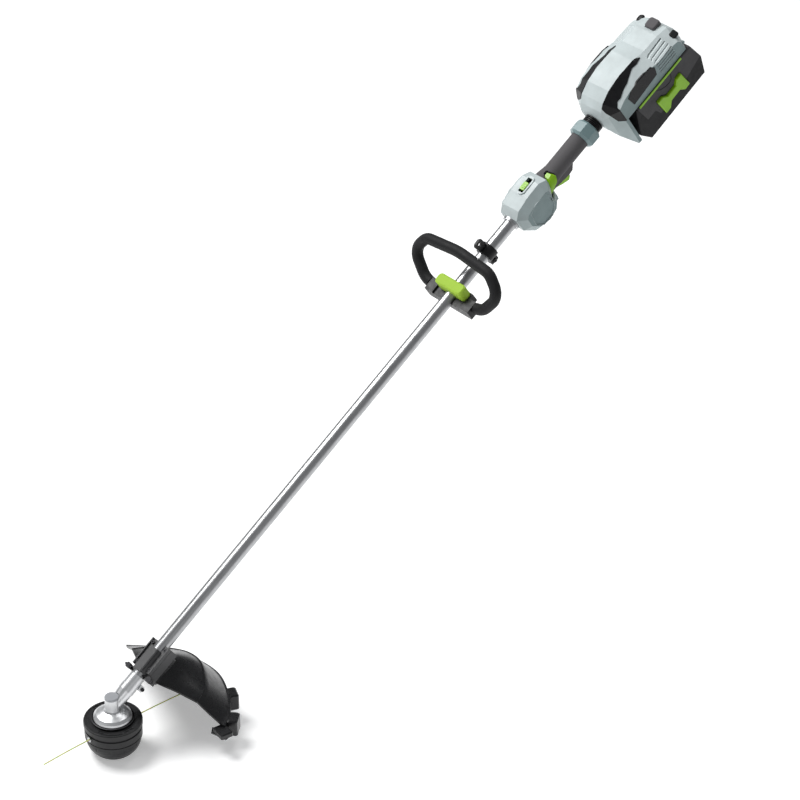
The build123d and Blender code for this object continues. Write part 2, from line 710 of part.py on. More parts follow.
def trigger_switch():
    """The small switch that the trigger presses."""
    body = block((-5, 5), (1276, 1294), (-36, -22))
    return body + block((-2, 2), (1294, 1297), (-27, -24)) + block((-4, 4), (1278, 1292), (-39, -36))


def grip_sleeve():
    """The soft sleeve over the tube, flared at the front and humped over the trigger."""
    sleeve = rod_y(GRIP_RADIUS, GRIP_START, GRIP_END) + taper_y(24.5, GRIP_RADIUS, GRIP_START, 1346)
    start = GRIP_START
    hump = [(start, -8), (start, -24), (1322, -24), (1366, -31), (1377, -29), (1388, -14), (1388, -8)]
    sleeve += side_plate(hump, -11, 11)
    cuts = rod_y(TUBE_RADIUS + SLIP, 1300, 1440) + block((-8.4, 8.4), (1310, 1371), (-50, -14))
    pocket = side_plate(LEVER_POCKET, 2, 40) - rod_y(17, 1290, 1350)
    return sleeve - cuts - pocket


# ---- rear housing and motor, drawn along the shaft ----


def neck_collar():
    """The eight-sided collar between the grip and the rear housing."""
    ring = Pos(0, GRIP_END, 0) * Rot(-90, 0, 0) * extrude(RegularPolygon(28, 8, rotation=22.5), amount=32)
    ends = ring.faces().sort_by(Axis.Y)
    ring = chamfer(ends[0].edges() + ends[-1].edges(), 5)
    return ring - rod_y(TUBE_RADIUS + SLIP, 1420, 1470)


def rear_block(growth):
    """The rear housing's outer form, grown by an amount all round."""
    face = offset(side_face(REAR_OUTLINE), amount=growth, kind=Kind.INTERSECTION)
    body = facet_block(face, REAR_HALF_WIDTH + growth, FACET_DOWN, FACET_ACROSS, SKIRT_TOP - growth)
    plan = offset(make_face(Polyline(*REAR_PLAN, close=True)), amount=growth, kind=Kind.INTERSECTION)
    return body & (Pos(0, 0, -100) * extrude(plan, amount=200))


def rear_inset(outline, low, proud):
    """A plate let into the rear housing's right side, within a side outline."""
    skin = rear_block(proud) - rear_block(-INSET_DEPTH)
    return skin & mirror(side_plate(outline, low, REAR_HALF_WIDTH + 10), about=Plane.YZ)


def rear_half():
    """The right half of the rear housing, before its screw holes."""
    half = (rear_block(0) - rear_block(-SHELL_WALL)) & block((-80, 0), (1440, 1740), (-100, 100))
    for row in VENT_ROWS:
        half -= block((-70, -32), (VENT_START, VENT_END), row)
    half -= rear_inset(CRESCENT_OUTLINE, CRESCENT_LOW, 4)
    half -= rear_inset(BADGE_OUTLINE, BADGE_LOW, 4)
    half += [rod_x(BOSS_POST_RADIUS, -x - 1, 0, s, n) for x, s, n in REAR_SCREWS]
    return half - rod_y(TUBE_RADIUS + SLIP, 1450, 1490) - block((-13, 13), (1680, 1704), (44, 70))


def rear_housing(side):
    """One half of the rear housing, with slots for the dock's rails and contacts."""
    half = rear_half() if side < 0 else mirror(rear_half(), about=Plane.YZ)
    rail_slots = [block((-58.2, 50.2), (s - 0.2, s + 6.2), (-3, 2)) for s in RAIL_PLACES]
    contact_slot = block((-58.3, -52.8), (1589.8, 1650.2), (-3, 2))
    return half - rail_slots - contact_slot - housing_screw_ways()


def housing_screw_ways():
    """The holes for the housings' small screws."""
    places = SWITCH_SCREWS + REAR_SCREWS
    return [rod_x(1.8, -x - 10, -x + 16, s, n) + rod_x(3.4, -x - 20, -x, s, n) for x, s, n in places]


def housing_screws():
    """The small screws that join the halves of both housings."""
    one = Rot(0, -90, 0) * screw(3.3, 1.75, 14, 2.4)
    return Compound([Pos(-x, s, n) * one for x, s, n in SWITCH_SCREWS + REAR_SCREWS])


def side_trims():
    """The black crescent inserts on both sides."""
    return Compound(both_sides(rear_inset(CRESCENT_OUTLINE, CRESCENT_LOW, 0.8)))


def badge_plates():
    """The plain black plates on both sides."""
    return Compound(both_sides(rear_inset(BADGE_OUTLINE, BADGE_LOW, 1.0)))


def top_bumper():
    """The black rubber foot on the housing's top rear edge."""
    foot = block((-13, 13), (1680, 1704), (44, 57))
    foot = fillet(foot.edges().filter_by(Axis.Z), 6)
    return fillet(foot.faces().sort_by(Axis.Z)[-1].edges(), 3)


def motor_stator():
    """The motor's wound core, fixed on the mount."""
    core = rod_y(22, MOTOR_START + 4, MOTOR_START + 16) - rod_y(7, MOTOR_START, MOTOR_START + 20)
    slots = []
    for turn in range(0, 360, 30):
        slots.append(Rot(0, turn, 0) * block((12, 30), (MOTOR_START, MOTOR_START + 20), (-1.5, 1.5)))
    return core - slots


def motor_mount():
    """The plate that holds the stator and the upper bearing."""
    plate = rod_y(23.2, MOTOR_START - 4.6, MOTOR_START - 2.4)
    plate += rod_y(7 - SLIP, MOTOR_START - 4, MOTOR_START + 16)
    return plate - rod_y(DRIVE_SHAFT_RADIUS + RUNNING, MOTOR_START - 10, MOTOR_START + 20)


def motor_rotor():
    """The magnet can that turns round the stator."""
    can = rod_y(28, MOTOR_START - 1, MOTOR_START + 19) - rod_y(23, MOTOR_START - 2, MOTOR_START + 17)
    return can - rod_y(DRIVE_SHAFT_RADIUS + SLIP, MOTOR_START, MOTOR_START + 30)


def cooling_fan():
    """The fan on the end of the motor."""
    disc = rod_y(8, MOTOR_START + 19, MOTOR_START + 21) + rod_y(26, MOTOR_START + 19, MOTOR_START + 19.8)
    for turn in range(0, 360, 36):
        disc += Rot(0, turn, 0) * block((7, 26), (MOTOR_START + 19.5, MOTOR_START + 21), (-0.8, 0.8))
    return disc - rod_y(DRIVE_SHAFT_RADIUS + SLIP, MOTOR_START, MOTOR_START + 30)


def controller_board():
    """The motor's controller, a board with its capacitors and heat sink."""
    board = block((-40, 40), (1535, 1690), (10, 12))
    sink = block((-30, 30), (1545, 1600), (12, 26))
    capacitors = [rod_z(8, 12, 34, x, 1625) for x in (-20, 0, 20)]
    return board + sink + capacitors


def battery_dock():
    """The floor plate that the pack hangs from, with two rails and the contact block."""
    plate = block((-58, 56), (1520, 1693.4), (0.8, 3.8))
    rails = [block((-58, 50), (s, s + 6), (-4.6, 1)) for s in RAIL_PLACES]
    contacts = block((-58, -53), (1590, 1650), (-30, 1))
    blades = [block((-56, -46), (s, s + 1.6), (-24, -14)) for s in BLADE_PLACES]
    return plate + rails + contacts + blades


# ---- battery pack, drawn along the shaft ----


def battery_case():
    """The pack's black casing, hollow, with grooves for the rails and slits for the blades."""
    solid = side_plate(PACK_OUTLINE, -52.5, PACK_FACE - 4)
    face = offset(side_face(PACK_OUTLINE), amount=-3, kind=Kind.INTERSECTION)
    hollow = Pos(-42, 0, 0) * extrude(face, amount=PACK_FACE + 35)
    grooves = [block((-60, 60), (s - 1, s + 7), (-6, 0)) for s in RAIL_PLACES]
    slits = [block((-60, -40), (s - 0.6, s + 2.2), (-25, -13)) for s in BLADE_PLACES]
    return solid - hollow - grooves - slits


def battery_cover():
    """The pack's grey outer face, with a window for the latch."""
    plate = side_plate(PACK_OUTLINE, PACK_FACE - 4, PACK_FACE + 2)
    plate = chamfer(plate.faces().sort_by(Axis.X)[-1].edges(), 2)
    window = side_face(LATCH_OUTLINE)
    window = offset(window, amount=1.0, kind=Kind.INTERSECTION)
    raised = Pos(0, 0, LATCH_TRAVEL) * window
    way = extrude(window, amount=30) + extrude(raised, amount=30)
    stripe = side_plate(STRIPE_OUTLINE, PACK_FACE + 0.6, PACK_FACE + 5)
    return plate - Pos(PACK_FACE - 1, 0, 0) * way - stripe


def battery_stripe():
    """The green line along the pack's upper edge."""
    return side_plate(STRIPE_OUTLINE, PACK_FACE + 0.6, PACK_FACE + 2.4)


def battery_latch():
    """The green bow-tie latch on the pack's face."""
    plate = side_plate(LATCH_OUTLINE, PACK_FACE - 0.9, PACK_FACE + 6)
    return chamfer(plate.faces().sort_by(Axis.X)[-1].edges(), 1.5)


def battery_cells():
    """Two rows of round cells lying across the shaft."""
    cells = [rod_x(9.1, -33, 32, 1546 + 20 * column, up) for column in range(8) for up in (-26, -50)]
    return Compound(cells)


# ---- main ----

ROW_PARTS = {
    "gear_case": gear_case,
    "gear_case_cap": gear_case_cap,
    "debris_shield": debris_shield,
    "spindle_bearings": spindle_bearings,
    "spindle": spindle,
    "bevel_gear": bevel_gear,
    "head_housing": head_housing,
    "head_cover": head_cover,
    "line_eyelets": line_eyelets,
    "cutting_line_front": lambda: cutting_line(-1),
    "cutting_line_rear": lambda: cutting_line(1),
    "spool": spool,
    "wound_line": wound_line,
    "bump_knob": bump_knob,
    "bump_spring": bump_spring,
    "guard_shield": guard_shield,
    "line_cutter_blade": line_cutter_blade,
    "blade_screws": blade_screws,
}
SHAFT_PARTS = {
    "pinion_bearings": pinion_bearings,
    "bevel_pinion": bevel_pinion,
    "shaft_tube": shaft_tube,
    "shaft_bushings": shaft_bushings,
    "drive_shaft": drive_shaft,
    "guard_bracket_upper": bracket_upper,
    "guard_bracket_lower": bracket_lower,
    "bracket_knobs": bracket_knobs,
    "clamp_screws": clamp_screws,
    "loop_tube": loop_tube,
    "loop_grip": loop_grip,
    "loop_clamp_base": loop_clamp_base,
    "loop_clamp_cap": loop_clamp_cap,
    "loop_screws": loop_screws,
    "hanger_clamp": hanger_clamp,
    "hanger_screw": hanger_screw,
    "switch_housing_left": lambda: switch_housing(1),
    "switch_housing_right": lambda: switch_housing(-1),
    "tube_ring": tube_ring,
    "speed_slider": speed_slider,
    "lock_off_lever": lock_off_lever,
    "trigger": trigger,
    "trigger_switch": trigger_switch,
    "grip_sleeve": grip_sleeve,
    "neck_collar": neck_collar,
    "rear_housing_left": lambda: rear_housing(1),
    "rear_housing_right": lambda: rear_housing(-1),
    "housing_screws": housing_screws,
    "side_trims": side_trims,
    "badge_plates": badge_plates,
    "top_bumper": top_bumper,
    "motor_stator": motor_stator,
    "motor_mount": motor_mount,
    "motor_rotor": motor_rotor,
    "cooling_fan": cooling_fan,
    "controller_board": controller_board,
    "battery_dock": battery_dock,
    "battery_case": battery_case,
    "battery_cover": battery_cover,
    "battery_stripe": battery_stripe,
    "battery_latch": battery_latch,
    "battery_cells": battery_cells,
}

if __name__ == "__main__":
    os.makedirs("parts", exist_ok=True)
    for name, make in ROW_PARTS.items():
        export_step(make(), f"parts/{name}.step")
    for name, make in SHAFT_PARTS.items():
        export_step(on_shaft(make()), f"parts/{name}.step")
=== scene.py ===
"""A battery string trimmer: finishes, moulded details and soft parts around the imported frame."""

import json
import logging
import math
from dataclasses import dataclass
from enum import Enum
from typing import ClassVar, Iterable, Sequence

import bmesh
import bpy
from mathutils import Matrix, Vector


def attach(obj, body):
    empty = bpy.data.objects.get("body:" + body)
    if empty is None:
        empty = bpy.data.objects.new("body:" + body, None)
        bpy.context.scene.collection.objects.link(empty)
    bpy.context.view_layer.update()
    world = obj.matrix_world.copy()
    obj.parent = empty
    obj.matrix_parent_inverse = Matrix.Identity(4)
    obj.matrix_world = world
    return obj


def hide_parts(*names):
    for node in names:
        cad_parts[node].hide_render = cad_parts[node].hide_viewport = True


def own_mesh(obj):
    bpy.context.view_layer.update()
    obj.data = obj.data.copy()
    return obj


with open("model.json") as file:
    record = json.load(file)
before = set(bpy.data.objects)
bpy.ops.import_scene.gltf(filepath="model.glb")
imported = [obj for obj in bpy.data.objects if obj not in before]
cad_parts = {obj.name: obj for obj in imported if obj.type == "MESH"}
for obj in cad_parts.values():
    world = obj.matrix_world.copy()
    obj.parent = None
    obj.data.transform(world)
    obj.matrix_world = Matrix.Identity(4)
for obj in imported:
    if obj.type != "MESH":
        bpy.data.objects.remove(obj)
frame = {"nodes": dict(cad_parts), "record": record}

LOG = logging.getLogger("string_trimmer")
Colour = tuple[float, float, float]
Point = tuple[float, float]
Place = tuple[float, float, float]
Socket = bpy.types.NodeSocket


class Axis(Enum):
    """The direction that a turned or plain metal finish runs in."""

    ROUND = "round the shaft"
    NONE = "no direction"


# ---------------------------------------------------------------- shaders


class Graph:
    """A material under construction, with short calls for the nodes that every finish uses."""

    def __init__(self, name: str) -> None:
        """Starts a material with one Principled shader.

        Args:
            name: the material's name.
        """
        self.material = bpy.data.materials.new(name)
        self.material.use_nodes = True
        self.nodes = self.material.node_tree.nodes
        self.links = self.material.node_tree.links
        self.shader = self.nodes["Principled BSDF"]
        self.place = self.nodes.new("ShaderNodeTexCoord").outputs["Object"]

    def add(self, kind: str, inputs: dict | None = None, **settings: object) -> bpy.types.Node:
        """Adds one node.

        Args:
            kind: the node's type name after "ShaderNode".
            inputs: socket name or number to a constant, or to a socket that feeds it.
            **settings: the node's own properties.

        Returns:
            The new node.
        """
        node = self.nodes.new("ShaderNode" + kind)
        for key, value in settings.items():
            setattr(node, key, value)
        for key, value in (inputs or {}).items():
            self.feed(node.inputs[key], value)
        return node

    def feed(self, socket: Socket, value: object) -> None:
        """Links a socket to another socket, or sets its constant.

        Args:
            socket: the input to feed.
            value: the socket that feeds it, or the constant.
        """
        if isinstance(value, Socket):
            self.links.new(value, socket)
        else:
            socket.default_value = value

    def noise(self, scale: float, detail: float = 3.0, stretch: Sequence[float] = (1, 1, 1)) -> Socket:
        """Gives cloudy noise over the surface.

        Args:
            scale: how many clouds to a metre.
            detail: how many finer layers lie on top.
            stretch: how the place is scaled along X, Y and Z first.

        Returns:
            The noise, from 0 to 1.
        """
        place = self.place
        if tuple(stretch) != (1, 1, 1):
            place = self.add("Mapping", {"Vector": place, "Scale": stretch}).outputs[0]
        node = self.add("TexNoise", {"Vector": place, "Scale": scale, "Detail": detail, "Roughness": 0.55})
        return node.outputs[0]

    def spread(self, value: Socket, low: float, high: float, to: Point) -> Socket:
        """Maps a value's range from low and high to the two ends of another range.

        Args:
            value: the value to map.
            low: what becomes the first end.
            high: what becomes the second end.
            to: the two ends.

        Returns:
            The mapped value.
        """
        sockets = {"Value": value, "From Min": low, "From Max": high, "To Min": to[0], "To Max": to[1]}
        return self.add("MapRange", sockets).outputs[0]

    def blend(self, share: Socket, first: object, second: object) -> Socket:
        """Mixes two colours.

        Args:
            share: how much of the second there is, from 0 to 1.
            first: a colour or a socket.
            second: a colour or a socket.

        Returns:
            The mixed colour.
        """
        node = self.add("Mix", data_type="RGBA")
        self.feed(node.inputs[0], share)
        for socket, value in ((node.inputs[6], first), (node.inputs[7], second)):
            self.feed(socket, value if isinstance(value, Socket) else (*value, 1.0))
        return node.outputs[2]

    def edges(self, radius: float) -> Socket:
        """Gives a mask that is 1 on outer and inner edges, and 0 on flat stretches.

        Args:
            radius: how far from an edge the mask reaches, in metres.

        Returns:
            The mask.
        """
        rounded = self.add("Bevel", {"Radius": radius}, samples=6).outputs[0]
        flat = self.add("NewGeometry").outputs["Normal"]
        dot = self.add("VectorMath", {0: rounded, 1: flat}, operation="DOT_PRODUCT").outputs["Value"]
        return self.spread(dot, 0.995, 0.80, (0.0, 1.0))

    def along(self) -> Socket:
        """Gives the place along the shaft, in metres."""
        return self.measure(Vector((0.0, 1.0, 0.0)))

    def up(self) -> Socket:
        """Gives the height square to the shaft, in metres."""
        return self.measure(Vector((0.0, 0.0, 1.0)))

    def measure(self, way: Vector) -> Socket:
        """Gives the place along one of the shaft frame's directions.

        Args:
            way: the direction, in the shaft's frame.

        Returns:
            The place along it, in metres.
        """
        turned = (SHAFT.matrix().to_3x3() @ way).normalized()
        offset = self.add("VectorMath", {0: self.place, 1: SHAFT.origin}, operation="SUBTRACT").outputs[0]
        dot = self.add("VectorMath", {0: offset, 1: tuple(turned)}, operation="DOT_PRODUCT")
        return dot.outputs["Value"]

    def times(self, first: object, second: object) -> Socket:
        """Multiplies two values."""
        return self.add("Math", {0: first, 1: second}, operation="MULTIPLY").outputs[0]

    def relief(self, layers: Iterable[tuple[Socket, float, float]]) -> None:
        """Stacks bump layers on the shader.

        Args:
            layers: (height, strength, depth in metres), coarse first.
        """
        normal = None
        for height, strength, depth in layers:
            node = self.add("Bump", {"Height": height, "Strength": strength, "Distance": depth})
            if normal is not None:
                self.feed(node.inputs["Normal"], normal)
            normal = node.outputs[0]
        if normal is not None:
            self.feed(self.shader.inputs["Normal"], normal)

    def set(self, **values: object) -> None:
        """Sets the shader's sockets, named with underscores for spaces."""
        for key, value in values.items():
            socket = self.shader.inputs[key.replace("_", " ")]
            if isinstance(value, tuple) and len(value) == 3:
                value = (*value, 1.0)
            self.feed(socket, value)


@dataclass(frozen=True)
class Finish:
    """A surface finish with its own name and main colour."""

    name: str
    colour: Colour

    def material(self) -> bpy.types.Material:
        """Returns the finish's material, made once."""
        found = bpy.data.materials.get(self.name)
        return found or self.build()

    def build(self) -> bpy.types.Material:
        """Builds the material; each kind of finish says how."""
        raise NotImplementedError


@dataclass(frozen=True)
class MouldedPlastic(Finish):
    """Injection-moulded plastic with spark texture, faint flow clouds, dust and rubbed edges."""

    roughness: float = 0.42
    grain: float = 2600.0
    grain_depth: float = 0.00006
    cloud: float = 0.10
    wear: float = 0.25
    coat: float = 0.0
    shine: float = 0.5

    def build(self) -> bpy.types.Material:
        """Builds the material.

        Returns:
            The material, named after the finish.
        """
        graph = Graph(self.name)
        clouds = graph.noise(26.0, 4.0)
        grain = graph.noise(self.grain, 2.0)
        scuffs = graph.noise(240.0, 5.0, (1.0, 0.25, 1.0))
        body = self.paint(graph, clouds)
        speck = graph.spread(grain, 0.35, 0.75, (0.0, 0.14))
        body = graph.blend(speck, body, tuple(channel * 0.82 for channel in self.colour))
        rubbed = tuple(min(1.0, channel * 1.35 + 0.03) for channel in self.colour)
        mask = graph.times(graph.edges(0.0012), graph.spread(scuffs, 0.4, 0.62, (0.0, self.wear)))
        graph.set(Base_Color=graph.blend(mask, body, rubbed))
        sheens = (self.roughness - 0.07, self.roughness + 0.09)
        graph.set(Roughness=graph.spread(graph.noise(90.0, 4.0), 0.25, 0.75, sheens))
        graph.set(Coat_Weight=self.coat, Coat_Roughness=0.12, Specular_IOR_Level=self.shine)
        graph.relief([(clouds, 0.10, 0.0012), (scuffs, 0.06, 0.0002), (grain, 0.5, self.grain_depth)])
        return graph.material

    def paint(self, graph: Graph, clouds: Socket) -> Socket:
        """Returns the plain colour of the whole part, with its flow clouds."""
        return self.clouded(graph, clouds, self.colour)

    def clouded(self, graph: Graph, clouds: Socket, colour: Colour) -> Socket:
        """Makes one colour a little darker and lighter in clouds.

        Args:
            graph: the material.
            clouds: the cloudy noise.
            colour: the colour.

        Returns:
            The clouded colour.
        """
        dark = tuple(channel * (1.0 - self.cloud) for channel in colour)
        light = tuple(min(1.0, channel * (1.0 + self.cloud) + 0.002) for channel in colour)
        return graph.blend(graph.spread(clouds, 0.3, 0.7, (0.0, 1.0)), dark, light)


@dataclass(frozen=True)
class TwoTonePlastic(MouldedPlastic):
    """Two-shot plastic whose second colour lies below a border drawn along the shaft."""

    second: Colour = (0.01, 0.01, 0.011)
    border: tuple[Point, ...] = ((0.0, 0.0), (2000.0, 0.0))

    def paint(self, graph: Graph, clouds: Socket) -> Socket:
        """Lays the first colour above the border and the second below it.

        Args:
            graph: the material.
            clouds: the cloudy noise.

        Returns:
            The colour.
        """
        start, end = self.border[0][0], self.border[-1][0]
        reach = graph.spread(graph.along(), start / 1000, end / 1000, (0.0, 1.0))
        curve = graph.add("FloatCurve", {"Value": reach})
        points = curve.mapping.curves[0].points
        while len(points) < len(self.border):
            points.new(0.5, 0.5)
        for point, (along, up) in zip(points, self.border):
            point.location = ((along - start) / (end - start), (up + 100.0) / 200.0)
            point.handle_type = "VECTOR"
        curve.mapping.update()
        border = graph.spread(curve.outputs[0], 0.0, 1.0, (-0.1, 0.1))
        depth = graph.add("Math", {0: border, 1: graph.up()}, operation="SUBTRACT").outputs[0]
        share = graph.spread(depth, -0.0002, 0.0002, (0.0, 1.0))
        above, below = (self.clouded(graph, clouds, colour) for colour in (self.colour, self.second))
        return graph.blend(share, above, below)


@dataclass(frozen=True)
class SideShadedPlastic(MouldedPlastic):
    """Shell plastic with painted shade: upward faces in the main colour, faces that look across the shaft in
    a darker colour that paints the shade on the sides.
    """

    # painted shade: the darker colour laid on faces that look across the shaft, standing in for the shade on
    # the sides
    side: Colour = (0.19, 0.26, 0.265)

    def paint(self, graph: Graph, clouds: Socket) -> Socket:
        """Lays the main colour on top, and painted side shade where a face looks across the shaft.

        Args:
            graph: the material.
            clouds: the cloudy noise.

        Returns:
            The colour.
        """
        # painted shade: the more a face looks across the shaft, the more of the darker side colour it gets
        normal = graph.add("NewGeometry").outputs["Normal"]
        across = graph.add("VectorMath", {0: normal, 1: (1.0, 0.0, 0.0)}, operation="DOT_PRODUCT")
        side_shade_share = graph.add("Math", {0: across.outputs["Value"]}, operation="ABSOLUTE").outputs[0]
        share = graph.spread(side_shade_share, 0.52, 0.86, (0.0, 1.0))
        top, side = (self.clouded(graph, clouds, colour) for colour in (self.colour, self.side))
        return graph.blend(share, top, side)


@dataclass(frozen=True)
class BareMetal(Finish):
    """Metal with a drawn or turned grain, soft smears and a duller film."""

    roughness: float = 0.3
    axis: Axis = Axis.NONE
    streaks: float = 900.0
    streak_depth: float = 0.00003
    tarnish: float = 0.15

    def build(self) -> bpy.types.Material:
        """Builds the material.

        Returns:
            The material, named after the finish.
        """
        graph = Graph(self.name)
        stretch = {Axis.NONE: (1, 1, 1), Axis.ROUND: (0.06, 1.0, 1.0)}[self.axis]
        streaks = graph.noise(self.streaks, 3.0, stretch)
        smears = graph.noise(34.0, 5.0)
        dull = tuple(channel * (1.0 - self.tarnish) for channel in self.colour)
        body = graph.blend(graph.spread(smears, 0.35, 0.7, (0.0, 1.0)), self.colour, dull)
        body = graph.blend(graph.spread(streaks, 0.45, 0.75, (0.0, 0.22)), body, dull)
        bright = tuple(min(1.0, channel * 1.15 + 0.05) for channel in self.colour)
        body = graph.blend(graph.times(graph.edges(0.0008), 0.5), body, bright)
        rough = graph.spread(smears, 0.3, 0.7, (self.roughness - 0.06, self.roughness + 0.08))
        graph.set(Base_Color=body, Metallic=1.0, Roughness=rough)
        graph.relief([(smears, 0.04, 0.0008), (streaks, 0.4, self.streak_depth)])
        return graph.material


@dataclass(frozen=True)
class CastPaint(Finish):
    """Silver paint over a sand-textured casting, with flakes, pits and rubbed edges."""

    roughness: float = 0.36

    def build(self) -> bpy.types.Material:
        """Builds the material.

        Returns:
            The material, named after the finish.
        """
        graph = Graph(self.name)
        flakes = graph.add("TexVoronoi", {"Vector": graph.place, "Scale": 3800.0}).outputs["Distance"]
        orange_peel = graph.noise(620.0, 2.0)
        clouds = graph.noise(40.0, 4.0)
        body = graph.blend(
            graph.spread(clouds, 0.3, 0.7, (0.0, 1.0)), self.colour, tuple(c * 0.86 for c in self.colour)
        )
        body = graph.blend(graph.spread(flakes, 0.0, 0.5, (0.3, 0.0)), body, (0.92, 0.93, 0.95))
        body = graph.blend(graph.times(graph.edges(0.001), 0.35), body, (0.95, 0.95, 0.96))
        rough = graph.spread(clouds, 0.3, 0.7, (self.roughness - 0.05, self.roughness + 0.07))
        graph.set(Base_Color=body, Metallic=0.72, Roughness=rough, Coat_Weight=0.25, Coat_Roughness=0.2)
        graph.relief([(orange_peel, 0.25, 0.0002), (flakes, 0.15, 0.00003)])
        return graph.material


@dataclass(frozen=True)
class SoftRubber(Finish):
    """Matt rubber or closed-cell foam, pitted, with a dusty bloom."""

    pore: float = 1500.0
    pore_depth: float = 0.00018
    roughness: float = 0.78
    bloom: float = 0.10

    def build(self) -> bpy.types.Material:
        """Builds the material.

        Returns:
            The material, named after the finish.
        """
        graph = Graph(self.name)
        pores = graph.add("TexVoronoi", {"Vector": graph.place, "Scale": self.pore}).outputs["Distance"]
        dust = graph.noise(60.0, 6.0)
        bloom = tuple(min(1.0, channel + self.bloom * 0.5) for channel in self.colour)
        body = graph.blend(graph.spread(dust, 0.42, 0.72, (0.0, 0.55)), self.colour, bloom)
        deep = tuple(channel * 0.55 for channel in self.colour)
        body = graph.blend(graph.spread(pores, 0.0, 0.35, (0.5, 0.0)), body, deep)
        rough = graph.spread(dust, 0.3, 0.7, (self.roughness - 0.1, self.roughness + 0.08))
        graph.set(Base_Color=body, Roughness=rough, Sheen_Weight=0.02, Specular_IOR_Level=0.3)
        graph.relief([(dust, 0.12, 0.0006), (pores, 0.45, self.pore_depth)])
        return graph.material


@dataclass(frozen=True)
class NylonLine(Finish):
    """Clear tinted cutting line, a little see-through, with drawn streaks."""

    def build(self) -> bpy.types.Material:
        """Builds the material.

        Returns:
            The material, named after the finish.
        """
        graph = Graph(self.name)
        streaks = graph.noise(700.0, 3.0, (1.0, 0.05, 1.0))
        deep = tuple(channel * 0.7 for channel in self.colour)
        body = graph.blend(graph.spread(streaks, 0.3, 0.7, (0.0, 0.4)), self.colour, deep)
        graph.set(Base_Color=body, Roughness=graph.spread(streaks, 0.3, 0.7, (0.28, 0.42)))
        graph.set(Subsurface_Weight=0.35, Subsurface_Scale=0.002)
        graph.relief([(streaks, 0.25, 0.0001)])
        return graph.material


@dataclass(frozen=True)
class Palette:
    """Every finish on the trimmer, and which record slot takes it."""

    # the shell finish paints shade on its side faces, darker where they look across the shaft
    shell: SideShadedPlastic = SideShadedPlastic("shell_plastic_side_shaded", (0.50, 0.56, 0.565), roughness=0.48, wear=0.1)
    teal: MouldedPlastic = MouldedPlastic("teal_plastic", (0.17, 0.25, 0.26), roughness=0.4, wear=0.2)
    lime: TwoTonePlastic = TwoTonePlastic(
        "lime_plastic", (0.25, 0.52, 0.006), roughness=0.36, wear=0.1,
        border=((840.0, 18.0), (1060.0, 18.0)),
    )
    slider: MouldedPlastic = MouldedPlastic("lime_detail", (0.25, 0.52, 0.006), roughness=0.36, wear=0.1)
    pack: TwoTonePlastic = TwoTonePlastic(
        "pack_plastic", (0.050, 0.049, 0.052), roughness=0.5, wear=0.2, second=(0.004, 0.004, 0.005),
        shine=0.25,
        border=(
            (1500, 2), (1539, -1), (1547, -47), (1571, -47), (1578, -65), (1665, -57), (1674, -55),
            (1713, -45), (1730, -45),
        ),
    )
    black: MouldedPlastic = MouldedPlastic(
        "black_nylon", (0.008, 0.008, 0.009), roughness=0.42, wear=0.15, shine=0.3
    )
    head: MouldedPlastic = MouldedPlastic(
        "head_nylon", (0.014, 0.014, 0.015), roughness=0.36, wear=0.2, shine=0.35
    )
    guard: MouldedPlastic = MouldedPlastic(
        "guard_plastic", (0.006, 0.006, 0.007), roughness=0.28, wear=0.05, shine=0.5, grain_depth=0.00002
    )
    trim: MouldedPlastic = MouldedPlastic(
        "gloss_trim", (0.005, 0.005, 0.006), roughness=0.3, wear=0.05, shine=0.25
    )
    bracket: MouldedPlastic = MouldedPlastic(
        "bracket_paint", (0.060, 0.060, 0.062), roughness=0.38, wear=0.5
    )
    lid: MouldedPlastic = MouldedPlastic("lid_plastic", (0.34, 0.35, 0.37), roughness=0.35)
    liner: MouldedPlastic = MouldedPlastic("natural_nylon", (0.6, 0.6, 0.55), roughness=0.4)
    board: MouldedPlastic = MouldedPlastic("circuit_board", (0.02, 0.11, 0.05), roughness=0.3)
    cells: MouldedPlastic = MouldedPlastic("cell_wrap", (0.03, 0.12, 0.35), roughness=0.25)
    casting: CastPaint = CastPaint("silver_casting", (0.40, 0.41, 0.425), roughness=0.5)
    tube: BareMetal = BareMetal(
        "drawn_tube", (0.50, 0.505, 0.515), roughness=0.33, streaks=300.0, streak_depth=0.000003
    )
    steel: BareMetal = BareMetal("ground_steel", (0.56, 0.57, 0.58), roughness=0.25, axis=Axis.ROUND)
    oxide: BareMetal = BareMetal("black_oxide", (0.045, 0.045, 0.048), roughness=0.4, tarnish=0.3)
    copper: BareMetal = BareMetal("wound_copper", (0.42, 0.2, 0.1), roughness=0.35)
    foam: SoftRubber = SoftRubber(
        "handle_foam", (0.005, 0.005, 0.006), pore=2100.0, roughness=0.66, bloom=0.01
    )
    grip: SoftRubber = SoftRubber(
        "grip_rubber", (0.034, 0.032, 0.034), pore=1300.0, roughness=0.62, bloom=0.01
    )
    line: NylonLine = NylonLine("line_nylon", (0.60, 0.66, 0.20))

    def by_slot(self) -> dict[str, Finish]:
        """Pairs the record's material slots with their finishes.

        Returns:
            The finish of each slot.
        """
        return {
            "silver_casting": self.casting,
            "cap_plastic": self.lid,
            "dark_steel": self.oxide,
            "bright_steel": self.steel,
            "motor_core": self.copper,
            "motor_metal": self.steel,
            "anodised_tube": self.tube,
            "liner_plastic": self.liner,
            "bracket_grey": self.bracket,
            "guard_black": self.guard,
            "head_black": self.head,
            "line_yellow": self.line,
            "loop_black": self.black,
            "loop_foam": self.foam,
            "lime_plastic": self.slider,
            "shell_grey": self.shell,
            "collar_teal": self.teal,
            "grip_rubber": self.grip,
            "trim_black": self.trim,
            "inner_black": self.black,
            "board_green": self.board,
            "pack_grey": self.pack,
            "cell_wrap": self.cells,
        }


PALETTE = Palette()


def dress(piece: bpy.types.Object, finish: Finish) -> None:
    """Gives a whole piece one finish."""
    piece.data.materials.clear()
    piece.data.materials.append(finish.material())


# ---------------------------------------------------------------- places and meshes


def to_metres(values: Iterable[float]) -> Vector:
    """Returns a place given in mm as a vector in metres."""
    return Vector(values) / 1000.0


